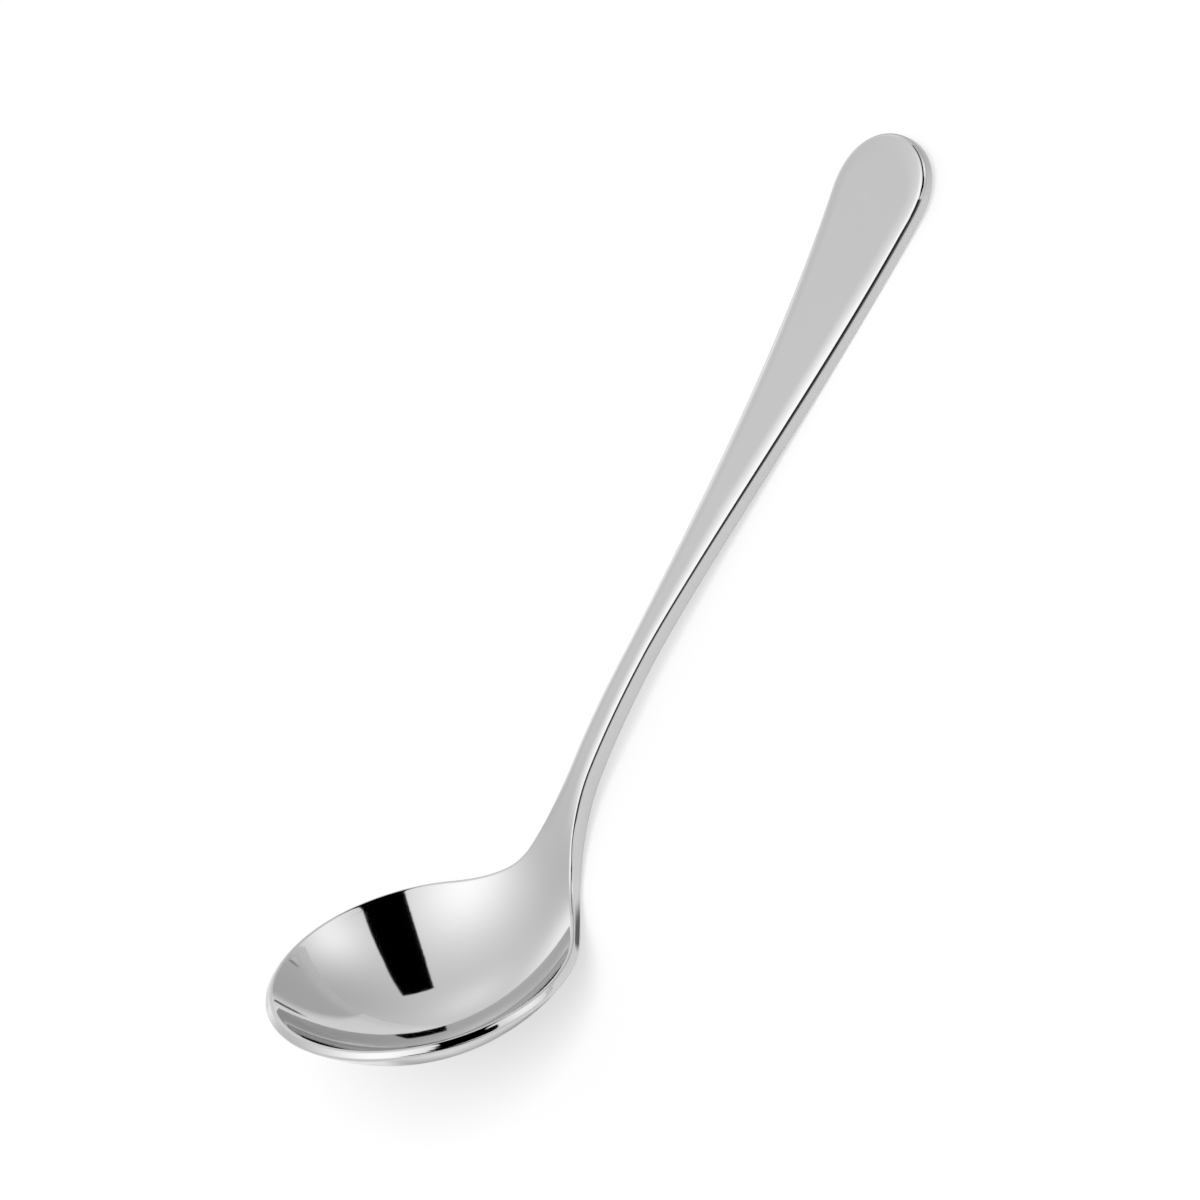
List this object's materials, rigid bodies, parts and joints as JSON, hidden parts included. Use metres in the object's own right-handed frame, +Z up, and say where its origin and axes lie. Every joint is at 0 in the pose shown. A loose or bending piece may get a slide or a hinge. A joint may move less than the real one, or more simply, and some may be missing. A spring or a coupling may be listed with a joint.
{
  "type": "cupping spoon",
  "caption": "Polished steel cupping spoon: a deep round bowl for tasting coffee, on a slim neck that widens into a flat handle with a rounded tip.",
  "frame": {"origin": "on the table that the spoon rests on, under the middle of its length and width", "axes": "+X along the spoon from the bowl to the tip of the handle, +Z up from the table, +Y across the bowl"},
  "size_m": [0.1486, 0.0438, 0.0291],
  "materials": {
    "polished_steel": "polished"
  },
  "bodies": {
    "root": {"bowl": "polished_steel", "handle": "polished_steel"}
  },
  "joints": []
}
